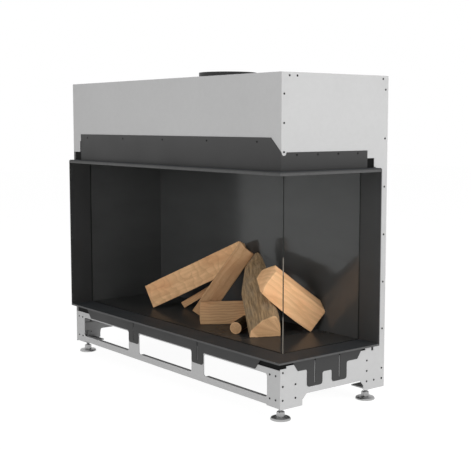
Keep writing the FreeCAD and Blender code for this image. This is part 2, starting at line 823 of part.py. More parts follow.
def make_burner():
    x = right - burner_from_right
    y = front + burner_from_front
    half_length = burner_length / 2
    half_width = burner_width / 2
    low = ledge_level - burner_depth
    tray = box(x - half_length, x + half_length, y - half_width, y + half_width, low, ledge_level)
    wall = burner_wall
    tray = tray.cut(box(x - half_length + wall, x + half_length - wall, y - half_width + wall,
                        y + half_width - wall, low + wall, ledge_level - wall))
    flange_high = ledge_level - firebox_sheet
    flange_x = half_length + burner_flange
    flange_y = half_width + burner_flange
    flange = box(x - flange_x, x + flange_x, y - flange_y, y + flange_y, flange_high - wall, flange_high)
    hole = box(x - half_length, x + half_length, y - half_width, y + half_width, low, ledge_level)
    flange = flange.cut(hole)
    tray = tray.fuse(flange)
    up = vec(0, 0, 1)
    count = int((burner_length - 2 * port_pitch) / port_pitch)
    ports = []
    for i in range(count + 1):
        port_x = x + (i - count / 2) * port_pitch
        for row in (-port_row / 2, port_row / 2):
            ports.append(rod(vec(port_x, y + row, ledge_level - 2 * wall), up, port_radius, 3 * wall))
    ports.append(rod(vec(x, y, low - wall), up, pipe_radius, 3 * wall))
    nodes["burner_tray"] = tray.cut(Part.makeCompound(ports)).removeSplitter()

    nozzle_low = low - nozzle_length
    nozzle_foot = vec(x, y, nozzle_low)
    nodes["burner_injector"] = tube(nozzle_foot, up, nozzle_radius, port_radius, nozzle_length)

    run_y = back - casing_sheet - valve_depth / 2
    start = vec(left + valve_from_left + valve_width, run_y, inlet_level())
    corners = [start, vec(x, run_y, inlet_level()), vec(x, y, inlet_level()), nozzle_foot]
    nodes["burner_gas_pipe"] = bent_pipe(corners)


def bent_pipe(corners):
    """A round pipe along straight runs that are joined by arcs of one bend radius."""
    edges = []
    last = corners[0]
    for i in range(1, len(corners) - 1):
        to_last = (corners[i - 1] - corners[i]).normalize()
        to_next = (corners[i + 1] - corners[i]).normalize()
        bend = min(pipe_bend, (corners[i + 1] - corners[i]).Length, (corners[i - 1] - corners[i]).Length)
        start = corners[i] + to_last * bend
        end = corners[i] + to_next * bend
        middle = corners[i] + (to_last + to_next) * (bend * (1 - math.sqrt(0.5)))
        if (start - last).Length > pipe_radius / 100:
            edges.append(Part.LineSegment(last, start).toShape())
        edges.append(Part.Arc(start, middle, end).toShape())
        last = end
    if (corners[-1] - last).Length > pipe_radius / 100:
        edges.append(Part.LineSegment(last, corners[-1]).toShape())
    path = Part.Wire(edges)
    circle = Part.Wire(Part.makeCircle(pipe_radius, corners[0], corners[1] - corners[0]))
    return path.makePipeShell([circle], True, False)


def make_pilot():
    x = right - burner_from_right - burner_length / 2 - pilot_gap
    y = front + burner_from_front
    low = ledge_level
    high = low + pilot_plate_sheet
    up = vec(0, 0, 1)
    half = pilot_plate / 2
    plate = box(x - half / 2, x + half / 2, y - half, y + half, low, high)
    hood = rod(vec(x, y, low + pilot_height - pilot_hood_radius), up, pilot_hood_radius, pilot_hood_radius)
    stem = rod(vec(x, y, low), up, pilot_tube_radius, pilot_height)
    nodes["pilot_burner"] = plate.fuse(stem).fuse(hood).removeSplitter()
    nodes["thermocouple"] = rod(vec(x, y + pilot_rod_pitch, high), up, pilot_rod_radius, pilot_rod_height)
    spark = rod(vec(x, y - pilot_rod_pitch, high), up, pilot_rod_radius, pilot_rod_height)
    insulator = rod(vec(x, y - pilot_rod_pitch, high), up, insulator_radius, insulator_height)
    nodes["ignition_electrode"] = spark.fuse(insulator).removeSplitter()


def make_gas_control():
    x0 = left + valve_from_left
    y1 = back - casing_sheet
    y0 = y1 - valve_depth
    z0 = base + valve_low
    body = box(x0, x0 + valve_width, y0, y1, z0, z0 + valve_height)
    body = body.makeFillet(valve_round, [e for e in body.Edges if abs(e.tangentAt(e.FirstParameter).y) > 0.9])
    forward = vec(0, -1, 0)
    inlet = vec(valve_middle(), y1 - inlet_length + casing_sheet, inlet_level())
    body = body.cut(rod(inlet, vec(0, 1, 0), inlet_radius, inlet_length))
    spindles = {"flame_control_knob": -knob_pitch / 2, "pilot_control_knob": knob_pitch / 2}
    for name, offset in spindles.items():
        x = valve_middle() + offset
        seat = vec(x, y0, inlet_level())
        body = body.fuse(rod(seat, forward, spindle_radius, knob_stand + knob_length / 2))
        start = seat + forward * knob_stand
        grip = rod(start, forward, knob_radius, knob_length)
        grip = grip.makeFillet(knob_radius / 8, rim_edges(grip, start + forward * knob_length))
        mark = knob_radius / 6
        face = y0 - knob_stand - knob_length
        bar = box(x - mark, x + mark, face - mark, face + mark, seat.z, seat.z + knob_radius * 0.8)
        bore = rod(start, forward, spindle_radius + running_clearance, knob_length / 2 + running_clearance)
        nodes[name] = grip.fuse(bar).cut(bore).removeSplitter()
    nodes["gas_valve"] = body.removeSplitter()
    fitting = rod(inlet, vec(0, 1, 0), inlet_radius, inlet_length)
    mouth = vec(valve_middle(), back - inlet_thread_length, inlet_level())
    nodes["gas_inlet_fitting"] = fitting.cut(rod(mouth, vec(0, 1, 0), inlet_bore_radius, inlet_thread_length))


def rim_edges(shape, centre):
    """The round edges whose middle is the given point."""
    rounds = [e for e in shape.Edges if isinstance(e.Curve, Part.Circle)]
    return [e for e in rounds if (e.Curve.Center - centre).Length < running_clearance]


def log_axes(heading, rise, roll):
    """Axes of a log: along it, across its face, and out of its face."""
    h, r, t = [math.radians(a) for a in (heading, rise, roll)]
    along = vec(math.cos(r) * math.cos(h), math.cos(r) * math.sin(h), math.sin(r))
    side = vec(math.sin(h), -math.cos(h), 0)
    up = side.cross(along)
    return along, up * math.cos(t) + side * math.sin(t), side * math.cos(t) - up * math.sin(t)


def log_stations(log):
    """Places along a log's axis, each with the section's share of full size and its sideways bend."""
    stations = [(0.0, 1.0, 0.0)]
    if "waist_share" in log:
        stations.append((log["waist_share"] * log["length"], log["waist_taper"], 0.0))
    stations.append((log["length"], log.get("taper", 1.0), log.get("bend", 0.0)))
    return stations


def lay_log(profile, notch_profile, log):
    """Run an (across, out) profile along a log's axis and set it down on the firebox floor.

    The second body is larger by the notch clearance, to cut the logs that lie against this one.
    """
    along, across, out = log_axes(log["heading"], log["rise"], log["roll"])
    start = vec(right - glass_back - log["stand"][0], front + glass_back + log["stand"][1], 0)
    bodies = []
    for corners, grow in ((profile, 0.0), (notch_profile, notch_clearance)):
        sections = []
        for reach, share, bend in log_stations(log):
            section = outline(corners, lambda u, v: vec(0, u, v))
            section.scale(share)
            if grow:
                section = section.makeOffset2D(grow, 2)
            section.translate(vec(reach, 0, bend))
            sections.append(section)
        sections[0].translate(vec(-grow, 0, 0))
        sections[-1].translate(vec(grow, 0, 0))
        body = Part.makeLoft(sections, True, True)
        body.Placement = FreeCAD.Placement(start, FreeCAD.Rotation(along, across, out, "XYZ"))
        bodies.append(body)
    drop = ledge_level - bodies[0].BoundBox.ZMin
    for body in bodies:
        body.translate(vec(0, 0, drop))
    return bodies


def split_profile(log):
    """A split log's section: a flat face, with the bark side cut back at both edges."""
    half = log["width"] / 2
    deep = -log["thickness"]
    upper = log["upper_bevel"]
    lower = log["lower_bevel"]
    return [(-half, 0), (half, 0), (half - upper, deep, log_round), (-half + lower, deep, log_round)]


def with_front_room(face, log):
    """A split log's section with the room that it keeps clear in front of its face."""
    half = log["width"] / 2
    room = log.get("front_room", 0.0)
    if not room:
        return face
    return [(-half, room), (half, room)] + face[1:] + face[:1]


def bark_profile(log):
    """Half-round section: a flat split underside and a barked back with its crest to one side."""
    half = log["width"] / 2
    high = log["thickness"]
    bend = half * 0.35
    return [(0, -half), (0, half), (high * 0.6, half), (high, half * 0.45, bend),
            (high * 0.75, -half * 0.4, bend), (high * 0.3, -half)]


def quarter_profile(log):
    """Quarter-split section: a broad face, a bevel along its upper edge and a blunt back corner."""
    half = log["width"] / 2
    deep = -log["thickness"]
    return [(-half, 0), (half - log["upper_bevel"], 0), (half, deep * 0.3), (half * 0.35, deep, half * 0.2),
            (-half * 0.55, deep * 0.8), (-half * 0.95, deep * 0.25)]


def make_logs():
    profiles = {
        "floor_log": (split_profile(floor_log), floor_log),
        "back_log": (split_profile(back_log), back_log),
        "plank_log": (split_profile(plank_log), plank_log),
        "bark_log": (bark_profile(bark_log), bark_log),
        "leaning_log": (quarter_profile(leaning_log), leaning_log),
        "splinter_log": (split_profile(splinter), splinter),
    }
    heading = math.radians(branch["heading"])
    x = right - glass_back - branch["stand"][0]
    y = front + glass_back + branch["stand"][1]
    along = vec(math.cos(heading), math.sin(heading), 0)
    radius = branch["radius"]
    nodes["branch_log"] = rod(vec(x, y, ledge_level + radius), along, radius, branch["length"])
    behind_wall = box(left, right, chamber_back - notch_clearance, back, base, top)
    laid = []
    for name, (profile, log) in profiles.items():
        body, larger = lay_log(profile, with_front_room(profile, log), log)
        for other, larger_other in laid:
            if body.distToShape(other)[0] < notch_clearance:
                body = body.cut(larger_other)
        body = max(body.cut(behind_wall).Solids, key=lambda s: s.Volume)
        laid.append((body, larger))
        nodes[name] = body


casing_screws = make_casing()
upstand_screws = make_built_in_frame()
nodes["panel_screws"] = Part.makeCompound(casing_screws + upstand_screws)
make_skirts()
make_glazing()
make_firebox()
make_hatches()
make_flue()
make_feet()
make_burner()
make_pilot()
make_gas_control()
make_logs()

os.makedirs("parts", exist_ok=True)
for node, shape in nodes.items():
    solids = shape.Solids
    faults = [i for i, s in enumerate(solids) if not s.isValid() or s.Volume <= 0]
    print(node, len(solids), "solids", round(sum(s.Volume for s in solids)), "faults", faults)
    shape.exportStep("parts/" + node + ".step")
print(len(nodes), "nodes")
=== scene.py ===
import json
import math

import bpy
import numpy as np
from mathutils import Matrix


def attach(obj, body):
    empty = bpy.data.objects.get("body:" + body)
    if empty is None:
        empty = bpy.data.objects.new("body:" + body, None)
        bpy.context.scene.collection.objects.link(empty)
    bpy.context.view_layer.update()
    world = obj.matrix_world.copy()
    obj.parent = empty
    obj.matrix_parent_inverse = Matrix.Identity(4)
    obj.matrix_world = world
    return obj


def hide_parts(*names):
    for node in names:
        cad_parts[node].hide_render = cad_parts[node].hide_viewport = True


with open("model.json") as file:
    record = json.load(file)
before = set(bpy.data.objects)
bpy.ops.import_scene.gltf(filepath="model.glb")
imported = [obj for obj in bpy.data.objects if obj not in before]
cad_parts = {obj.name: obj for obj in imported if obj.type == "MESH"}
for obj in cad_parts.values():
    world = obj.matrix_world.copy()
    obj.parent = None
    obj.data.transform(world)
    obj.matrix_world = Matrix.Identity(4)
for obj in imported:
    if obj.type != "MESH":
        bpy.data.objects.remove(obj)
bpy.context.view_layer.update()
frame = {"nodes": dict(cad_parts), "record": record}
nodes = frame["nodes"]
bpy.context.scene.view_settings.view_transform = "Standard"

# Camera, solved from the casing's edges in the photo (metres, degrees, and millimetres for lens and sensor)
camera_place = (2.7018, -2.0506, 0.8767)
camera_yaw = 51.579
camera_down = 5.919
camera_lens = 74.95
camera_sensor = 36.0
camera_far = 50.0

# Sky and lamps (metres and watts)
sky_strength = 0.34
side_place = (4.5, 1.0, 1.2)
side_target = (0.4, 0.1, 0.5)
side_size = (3.0, 2.6)
side_power = 179.0
front_place = (1.1, -4.4, 1.1)
front_target = (0.0, 0.0, 0.5)
front_size = (3.0, 2.2)
front_power = 105.0

# Studio floor: half its side in metres, and shares of white
floor_half = 14.0
floor_glow = 0.94
floor_shade = 0.20
floor_bounce = 0.80
floor_cloud = 0.02

# Galvanised casing and black frame: grey tones, shares, and lengths in metres; the frame's lip highlight, web
# shade and upstand shade are painted light and shade, and the dust's cool tint cancels warm bounced light
zinc_tones = (0.447, 0.49)
frame_tones = (0.021, 0.034)
dust_tones = (0.033, 0.047)
dust_cooling_against_bounce = -0.07
dust_dullness = 0.75
web_shade_tones = (0.004, 0.008)
lip_highlight_tone = 0.066
upstand_shade_tones = (0.68, 1.42)
lip_highlight_width = 0.0006
trim_fold = 0.0035

# Glass panes: colours and gloss, and where in metres their corner's edge is dark or pale; the pale stretches
# are a painted reflection of the logs and floor
glass_clear = (0.965, 0.97, 0.968)
glass_index = 1.25
glass_calm = 0.045
glass_edge = (0.012, 0.013, 0.012)
seam_reflection_tones = ((0.135, 0.122, 0.104), (0.170, 0.154, 0.130))
seam_reach = 0.02
seam_dark = (0.302, 0.423)
seam_top = 0.476
seam_fade = 0.006

# Ash on the firebox floor, from where it lies full to where it ends along X, in metres
ash_span = (-0.17, 0.12)
ash_tone = 0.060
ash_gloss = 1.05

# Wood and bark colours
wood_light = np.array((0.81, 0.50, 0.275))
wood_dark = np.array((0.47, 0.250, 0.118))
wood_shares = (1.0, 0.62, 0.4, 0.0)
wood_rose = (1.06, 0.90, 0.84)
# The pale rim on a barked log's end is a painted highlight, where light catches the end's edge
rim_highlight_tone = 1.15
bark_light = np.array((0.45, 0.30, 0.165))
bark_dark = np.array((0.135, 0.085, 0.048))
bark_grey = np.array((0.31, 0.25, 0.185))

# Growth rings and curly lines in the wood: lengths in metres, slant in lines per metre, and sway in lines
ring_wander = 0.014
curl_pitch = 0.034
curl_slant = 9.0
curl_sway = 2.4

# Log shapes: lengths in metres, noise cells per metre along, across and out of the log, facings as cosines
log_pitch = 0.0017
fibre_cells = (14.0, 160.0, 160.0)
fibre_lift = 0.0006
wave_cells = (9.0, 22.0, 22.0)
wave_lift = 0.0012
saw_cells = (300.0, 60.0, 500.0)
saw_lift = 0.0003
ridge_cells = (22.0, 130.0, 130.0)
ridge_lift = 0.004
ridge_middle = 0.8
wear_cells = (16.0, 16.0, 16.0)
wear_middle = 0.6
wear_swing = 0.4
end_facing = (0.375, 1.0)
end_reach = 0.06
bark_facing = (-0.6, -0.35)
rim_highlight_span = (0.84, 0.94)

# Seeds of the logs' noises: one for each letter of the log's name, and a step for each kind of noise
letter_seed = 7
wave_seed = 5
saw_seed = 9
ridge_seed = 20
wear_seed = 30

# Feet, knobs and valve: lengths in metres, angles in degrees, and the rest as counts or shares of a radius
foot_segments = 48
dome_rings = 6
thread_pitch = 0.0018
thread_depth = 0.1
knob_segments = 144
knob_flutes = 18
knob_flute = 0.09
knob_taper = 0.97
knob_round = 0.12
knob_dish = 0.0006
knob_edge_rings = 6
knob_face_rings = 28
knob_near = 0.0005
valve_edge = 0.0015
weld_reach = 0.00002
edge_angle = 40.0


# Node trees
class Tree:
    """A node tree, with short ways to add the nodes that the paints and the sky share."""

    def __init__(self, tree):
        self.tree = tree
        self.tree.nodes.clear()

    def add(self, kind, **settings):
        node = self.tree.nodes.new(kind)
        for key, value in settings.items():
            setattr(node, key, value)
        return node

    def join(self, start, end):
        """Link an output to an input, or set the input if a plain value is given."""
        if isinstance(start, bpy.types.NodeSocket):
            self.tree.links.new(start, end)
        else:
            end.default_value = start

    def math(self, operation, first, second=0.0):
        node = self.add("ShaderNodeMath", operation=operation)
        self.join(first, node.inputs[0])
        self.join(second, node.inputs[1])
        return node.outputs[0]

    def choose(self, share, first, second):
        """The first shader, the second, or a blend of them by the share."""
        node = self.add("ShaderNodeMixShader")
        for value, socket in zip((share, first, second), node.inputs):
            self.join(value, socket)
        return node.outputs[0]

    def seen(self):
        """1 for what the camera sees, also in a mirror or through glass, and 0 for other light."""
        path = self.add("ShaderNodeLightPath")
        share = path.outputs["Is Camera Ray"]
        for kind in ("Is Glossy Ray", "Is Transmission Ray"):
            share = self.math("MAXIMUM", share, path.outputs[kind])
        return share


class Paint(Tree):
    """A material's node tree: its main shader, and the patterns on it."""

    def __init__(self, name):
        self.material = bpy.data.materials.new(name)
        self.material.use_nodes = True
        super().__init__(self.material.node_tree)
        self.shader = self.add("ShaderNodeBsdfPrincipled")
        self.output = self.add("ShaderNodeOutputMaterial")
        self.show(self.shader.outputs[0])
        self.place = self.add("ShaderNodeTexCoord").outputs["Object"]

    def show(self, shader):
        self.join(shader, self.output.inputs["Surface"])

    def set(self, **values):
        """Set the main shader's inputs; underscores stand for spaces in their names."""
        for key, value in values.items():
            self.join(value, self.shader.inputs[key.replace("_", " ")])

    def facing(self):
        """The surface's own direction."""
        return self.add("ShaderNodeTexCoord").outputs["Normal"]

    def split(self, vector):
        """A vector's X, Y and Z."""
        node = self.add("ShaderNodeSeparateXYZ")
        self.join(vector, node.inputs[0])
        return node.outputs

    def stretch(self, scale, vector=None):
        node = self.add("ShaderNodeMapping")
        self.join(vector or self.place, node.inputs["Vector"])
        node.inputs["Scale"].default_value = scale
        return node.outputs["Vector"]

    def noise(self, scale, detail=3.0, roughness=0.5, vector=None):
        node = self.add("ShaderNodeTexNoise")
        self.join(vector or self.place, node.inputs["Vector"])
        node.inputs["Scale"].default_value = scale
        node.inputs["Detail"].default_value = detail
        node.inputs["Roughness"].default_value = roughness
        return node.outputs["Fac"]

    def cells(self, scale):
        """A random colour for each cell."""
        node = self.add("ShaderNodeTexVoronoi")
        self.join(self.place, node.inputs["Vector"])
        node.inputs["Scale"].default_value = scale
        return node.outputs["Color"]

    def band(self, value, span, result=(0.0, 1.0)):
        """Map a value's span onto another, clamped at both ends."""
        node = self.add("ShaderNodeMapRange")
        self.join(value, node.inputs["Value"])
        for key, number in zip(("From Min", "From Max", "To Min", "To Max"), (*span, *result)):
            node.inputs[key].default_value = number
        return node.outputs["Result"]

    def hump(self, value, rise, fall):
        """From 0 to 1 over one span of a value, and back to 0 over another."""
        return self.math("MULTIPLY", self.band(value, rise), self.band(value, fall, (1.0, 0.0)))

    def mix(self, share, first, second, blend="MIX"):
        node = self.add("ShaderNodeMix", data_type="RGBA", blend_type=blend)
        self.join(share, node.inputs[0])
        for value, socket in ((first, node.inputs[6]), (second, node.inputs[7])):
            self.join(value if isinstance(value, bpy.types.NodeSocket) else (*value, 1.0), socket)
        return node.outputs[2]

    def bump(self, height, depth):
        """Bump the main shader by a height of so many metres."""
        node = self.add("ShaderNodeBump")
        self.join(height, node.inputs["Height"])
        node.inputs["Distance"].default_value = depth
        self.join(node.outputs["Normal"], self.shader.inputs["Normal"])

    def attribute(self, name, output="Fac"):
        return self.add("ShaderNodeAttribute", attribute_name=name).outputs[output]


def grey(level, warmth=0.0):
    return (level * (1 + warmth), level, level * (1 - warmth))


def greys(levels, warmth=0.0):
    return [grey(level, warmth) for level in levels]


# CAD nodes
def node_points(name):
    """A CAD node's vertices in the part's frame."""
    node = nodes[name]
    flat = np.empty(3 * len(node.data.vertices))
    node.data.vertices.foreach_get("co", flat)
    turn = np.array(node.matrix_world)
    return flat.reshape(-1, 3) @ turn[:3, :3].T + turn[:3, 3]


def paint_node(name, material):
    """Give a CAD node one paint."""
    materials = nodes[name].data.materials
    materials.clear()
    materials.append(material)


def paint_slot(slot, material):
    """Give every CAD node of a material slot its paint."""
    for subpart in frame["record"]["subparts"]:
        if subpart["material_slot"] == slot:
            paint_node(subpart["node"], material)


def soften(name, width):
    """Round a CAD node's sharp edges a little, with modifiers only."""
    weld = nodes[name].modifiers.new("weld", "WELD")
    weld.merge_threshold = weld_reach
    bevel = nodes[name].modifiers.new("edge", "BEVEL")
    bevel.width = width
    bevel.segments = 2
    bevel.limit_method = "ANGLE"
    bevel.angle_limit = math.radians(edge_angle)


# Paints of sheet, metal and glass
def galvanised_paint():
    """Bright zinc: faint spangle, rolling lines and a few dull smears."""
    paint = Paint("galvanised")
    cloud = paint.noise(4.0, detail=4.0)
    spangle = paint.band(paint.cells(90.0), (0.0, 1.0), (0.0, 0.3))
    share = paint.math("ADD", paint.band(cloud, (0.3, 0.7), (0.0, 0.7)), spangle)
    paint.set(Base_Color=paint.mix(share, *greys(zinc_tones)), Metallic=0.25)
    lines = paint.noise(40.0, detail=2.0, vector=paint.stretch((1.0, 1.0, 14.0)))
    smears = paint.band(cloud, (0.4, 0.8), (0.0, 0.08))
    paint.set(Roughness=paint.math("ADD", paint.band(lines, (0.3, 0.7), (0.40, 0.46)), smears))
    paint.bump(paint.noise(220.0, detail=2.0), 0.00003)
    return paint.material


def frame_paint():
    """Black textured paint: fine orange peel, cloudy gloss, and a painted highlight along the lips at the
    frame's outer faces.

    Dust dulls and pales the level faces, tinted cool to cancel the warm light bounced onto them from the
    logs. The upstands carry painted shade, darker near the ledge and paler towards the top. The webs behind
    the casing, below the ledge and above the header, carry painted shade: darker and duller.
    """
    ledge = node_points("side_bottom_trim")
    lip_front = ledge[:, 1].min()
    lip_side = ledge[:, 0].max()
    casing_front = node_points("base_front_panel")[:, 1].min()
    casing_side = node_points("right_side_panel")[:, 0].max()
    glazed = node_points("left_end_trim")[:, 2]
    upstand = node_points("front_upstand")[:, 2]
    paint = Paint("black_frame")
    cloud = paint.noise(9.0, detail=4.0)
    x, y, z = paint.split(paint.place)
    # Painted highlight: a thin pale band along the frame's outer lips, broken up by noise
    front_lip = paint.band(y, (lip_front, lip_front + lip_highlight_width), (1.0, 0.0))
    side_lip = paint.band(x, (lip_side - lip_highlight_width, lip_side))
    highlight_breakup = paint.band(paint.noise(60.0), (0.2, 0.6), (0.6, 1.0))
    lip_highlight = paint.math("MULTIPLY", paint.math("MAXIMUM", front_lip, side_lip), highlight_breakup)
    # Painted shade: the webs behind the casing, below the ledge and above the header, are darker and duller
    behind_front = paint.math("GREATER_THAN", y, casing_front)
    behind_side = paint.math("LESS_THAN", x, casing_side)
    behind = paint.math("MULTIPLY", behind_front, behind_side)
    below = paint.math("LESS_THAN", z, glazed.min() - trim_fold)
    above = paint.math("GREATER_THAN", z, glazed.max() + trim_fold)
    web_shade = paint.math("MULTIPLY", behind, paint.math("MAXIMUM", below, above))
    level = paint.band(paint.split(paint.facing())["Z"], (0.5, 0.9))
    # Painted shade on the upstands: darker near the ledge, paler towards the top
    upstand_shade = paint.band(z, (upstand.min(), upstand.max()), upstand_shade_tones)
    coat = paint.mix(above, paint.mix(cloud, *greys(frame_tones)), upstand_shade, "MULTIPLY")
    # Dust on the level faces, tinted cool to cancel the warm light bounced onto them from the logs
    coat = paint.mix(level, coat, paint.mix(cloud, *greys(dust_tones, dust_cooling_against_bounce)))
    coat = paint.mix(lip_highlight, coat, grey(lip_highlight_tone))
    paint.set(Base_Color=paint.mix(web_shade, coat, paint.mix(cloud, *greys(web_shade_tones))))
    paint.set(Roughness=paint.band(cloud, (0.3, 0.7), (0.50, 0.62)))
    dull = paint.math("MAXIMUM", web_shade, paint.math("MULTIPLY", level, dust_dullness))
    paint.set(Specular_IOR_Level=paint.band(dull, (0.0, 1.0), (0.42, 0.05)))
    paint.bump(paint.noise(1400.0, detail=2.0), 0.00006)
    return paint.material


def firebox_paint(name, tone, gloss, rough, ashy=False):
    """Black enamel of a given tone, refractive index and roughness, with faint wiping marks in the gloss.

    An ashy floor is paler and loses its gloss towards the left.
    """
    paint = Paint(name)
    smear = paint.noise(7.0, detail=5.0, vector=paint.stretch((1.0, 1.0, 2.5)))
    colour = paint.mix(smear, grey(0.88 * tone), grey(1.12 * tone))
    if ashy:
        ash = paint.band(paint.split(paint.place)["X"], ash_span, (1.0, 0.0))
        colour = paint.mix(ash, colour, grey(ash_tone))
        gloss = paint.band(ash, (0.0, 1.0), (gloss, ash_gloss))
    paint.set(Base_Color=colour, IOR=gloss)
    paint.set(Roughness=paint.band(smear, (0.3, 0.75), (rough, rough + 0.08)))
    paint.bump(paint.noise(60.0, detail=2.0), 0.00002)
    return paint.material


def plain_paint(name, low, high, rough, metallic=1.0, bump=0.00004):
    """A plain finish, metal unless told otherwise: cloudy tone, uneven gloss and a fine grain."""
    paint = Paint(name)
    cloud = paint.noise(30.0, detail=4.0)
    fine = paint.noise(400.0, detail=2.0)
    paint.set(Base_Color=paint.mix(cloud, low, high), Metallic=metallic)
    paint.set(Roughness=paint.band(fine, (0.25, 0.75), (rough - 0.06, rough + 0.08)))
    paint.bump(fine, bump)
    return paint.material


def glass_paint(name, across):
    """Clear coated pane, a mirror only at a slant and only where a ray goes in, with dark edges.

    The pane's own direction is X or Y; a face that points any other way is an edge. Low down at the panes'
    corner the edge is painted pale, a painted reflection of the logs and floor, but for a dark stretch in
    front of the leaning log.
    """
    paint = Paint(name)
    smear = paint.noise(9.0, detail=4.0)
    clear = paint.add("ShaderNodeBsdfTransparent")
    clear.inputs["Color"].default_value = (*glass_clear, 1.0)
    mirror = paint.add("ShaderNodeBsdfGlossy")
    paint.join(paint.band(smear, (0.4, 0.8), (0.01, 0.05)), mirror.inputs["Roughness"])
    slant = paint.add("ShaderNodeFresnel")
    slant.inputs["IOR"].default_value = glass_index
    gleam = paint.band(slant.outputs[0], (glass_calm, 1.0))
    leaving = paint.add("ShaderNodeNewGeometry").outputs["Backfacing"]
    share = paint.math("MULTIPLY", gleam, paint.math("SUBTRACT", 1.0, leaving))
    pane = paint.choose(share, clear.outputs[0], mirror.outputs[0])
    seam = node_points("front_glass")
    x, y, z = paint.split(paint.place)
    near_side = paint.math("GREATER_THAN", x, seam[:, 0].max() - seam_reach)
    near_front = paint.math("LESS_THAN", y, seam[:, 1].min() + seam_reach)
    corner = paint.math("MULTIPLY", near_side, near_front)
    foot = paint.band(z, (seam_dark[0] - seam_fade, seam_dark[0]), (1.0, 0.0))
    head = paint.hump(z, (seam_dark[1], seam_dark[1] + seam_fade), (seam_top, seam_top + seam_fade))
    # Painted reflection: low down at the corner the seam's edge is pale, but for the dark stretch in front of
    # the leaning log
    pale = paint.math("MULTIPLY", corner, paint.math("MAXIMUM", foot, head))
    paint.set(Base_Color=paint.mix(pale, glass_edge, paint.mix(smear, *seam_reflection_tones)))
    paint.set(Roughness=0.35, Specular_IOR_Level=0.12)
    flat = paint.math("GREATER_THAN", paint.math("ABSOLUTE", paint.split(paint.facing())[across]), 0.7)
    paint.show(paint.choose(flat, paint.shader.outputs[0], pane))
    return paint.material


# Paint of the logs
def late_wood(paint, grain, ring_pitch):
    """The dark late wood of growth rings: a saw-tooth of the distance from the pith, swayed by noise."""
    across, out = paint.split(grain)[1:]
    wander = paint.noise(9.0, vector=paint.stretch((1.0, 3.0, 3.0), grain))
    square = paint.math("ADD", paint.math("MULTIPLY", across, across), paint.math("MULTIPLY", out, out))
    drift = paint.band(wander, (0.0, 1.0), (-ring_wander, ring_wander))
    radius = paint.math("ADD", paint.math("SQRT", square), drift)
    ring = paint.math("FRACT", paint.math("DIVIDE", radius, ring_pitch))
    return paint.hump(ring, (0.25, 0.85), (0.88, 1.0))


def curly_lines(paint, grain):
    """Lines that sweep across the grain: a saw-tooth along the log, slanted across it and swayed by noise."""
    along, across = paint.split(grain)[:2]
    sway = paint.noise(16.0, detail=2.0, vector=grain)
    sweep = paint.math("DIVIDE", along, curl_pitch)
    sweep = paint.math("ADD", sweep, paint.band(sway, (0.2, 0.8), (0.0, curl_sway)))
    sweep = paint.math("ADD", sweep, paint.math("MULTIPLY", across, curl_slant))
    return paint.hump(paint.math("FRACT", sweep), (0.3, 0.9), (0.92, 1.0))


def end_grain(paint, grain, late, light, deep, dark):
    """A sawn end: rays from the pith, the growth rings, and a pale rim of painted highlight where the mask
    says so.
    """
    spoke = paint.add("ShaderNodeVectorMath", operation="NORMALIZE")
    paint.join(paint.stretch((0.0, 1.0, 1.0), grain), spoke.inputs[0])
    rays = paint.noise(5.0, roughness=0.6, vector=spoke.outputs[0])
    colour = paint.mix(paint.band(rays, (0.38, 0.62)), light, deep)
    colour = paint.mix(paint.band(late, (0.0, 1.0), (0.0, 0.35)), colour, dark)
    return paint.mix(paint.attribute("rim"), colour, tuple(rim_highlight_tone * wood_light))


def bark_crust(paint, grain, crack, rind):
    """Bark: dark in its cracks, with greyer patches."""
    dark, light, dusty = (tuple(rind * colour) for colour in (bark_dark, bark_light, bark_grey))
    patch = paint.noise(20.0, vector=grain)
    crust = paint.mix(paint.band(crack, (0.30, 0.66)), dark, light)
    return paint.mix(paint.band(patch, (0.45, 0.7), (0.0, 0.4)), crust, dusty)


def wood_paint(name, tone, ring_pitch, ring_depth=0.5, figure=0.0, rind=1.0):
    """Solid wood: growth rings round the pith, long fibres and a slow blush, and bark where the mask says so.

    The figure is the depth of the curly lines, and the rind is the bark's lightness; the tone and the rind
    also carry painted light and shade for each log.
    """
    paint = Paint(name)
    blends = [tone * (share * wood_light + (1 - share) * wood_dark) for share in wood_shares]
    light, middle, deep, dark = map(tuple, blends)
    grain = paint.attribute("grain", "Vector")
    late = late_wood(paint, grain, ring_pitch)
    fibre = paint.noise(140.0, detail=4.0, roughness=0.65, vector=paint.stretch((0.035, 1.0, 1.0), grain))
    blush = paint.noise(7.0, vector=paint.stretch((1.0, 2.0, 2.0), grain))
    rosy = paint.noise(13.0, vector=paint.stretch((0.5, 1.0, 1.0), grain))
    colour = paint.mix(paint.band(blush, (0.3, 0.7)), light, middle)
    colour = paint.mix(paint.math("MULTIPLY", curly_lines(paint, grain), figure), colour, deep)
    colour = paint.mix(paint.math("MULTIPLY", late, ring_depth), colour, dark)
    colour = paint.mix(paint.band(fibre, (0.45, 0.8), (0.0, 0.4)), colour, dark)
    colour = paint.mix(paint.band(rosy, (0.45, 0.75), (0.0, 0.8)), colour, wood_rose, "MULTIPLY")
    sawn = paint.math("MULTIPLY", paint.attribute("sawn"), 0.8)
    colour = paint.mix(sawn, colour, end_grain(paint, grain, late, light, deep, dark))
    bark = paint.attribute("bark")
    crack = paint.noise(125.0, detail=5.0, roughness=0.65, vector=paint.stretch((0.16, 1.0, 1.0), grain))
    colour = paint.mix(bark, colour, bark_crust(paint, grain, crack, rind))
    paint.set(Base_Color=colour, Specular_IOR_Level=0.2)
    paint.set(Roughness=paint.band(fibre, (0.3, 0.7), (0.62, 0.78)))
    relief = paint.math("ADD", paint.math("MULTIPLY", fibre, 0.4), paint.math("MULTIPLY", crack, bark))
    paint.bump(relief, 0.0010)
    return paint.material


# Ramps and smooth noise on whole arrays
hash_steps = np.array((73856093, 19349663, 83492791), dtype=np.int64)
hash_seed = 2654435761
hash_mixer = 1274126177
low_word = 0xFFFFFFFF
low_half = 0xFFFF


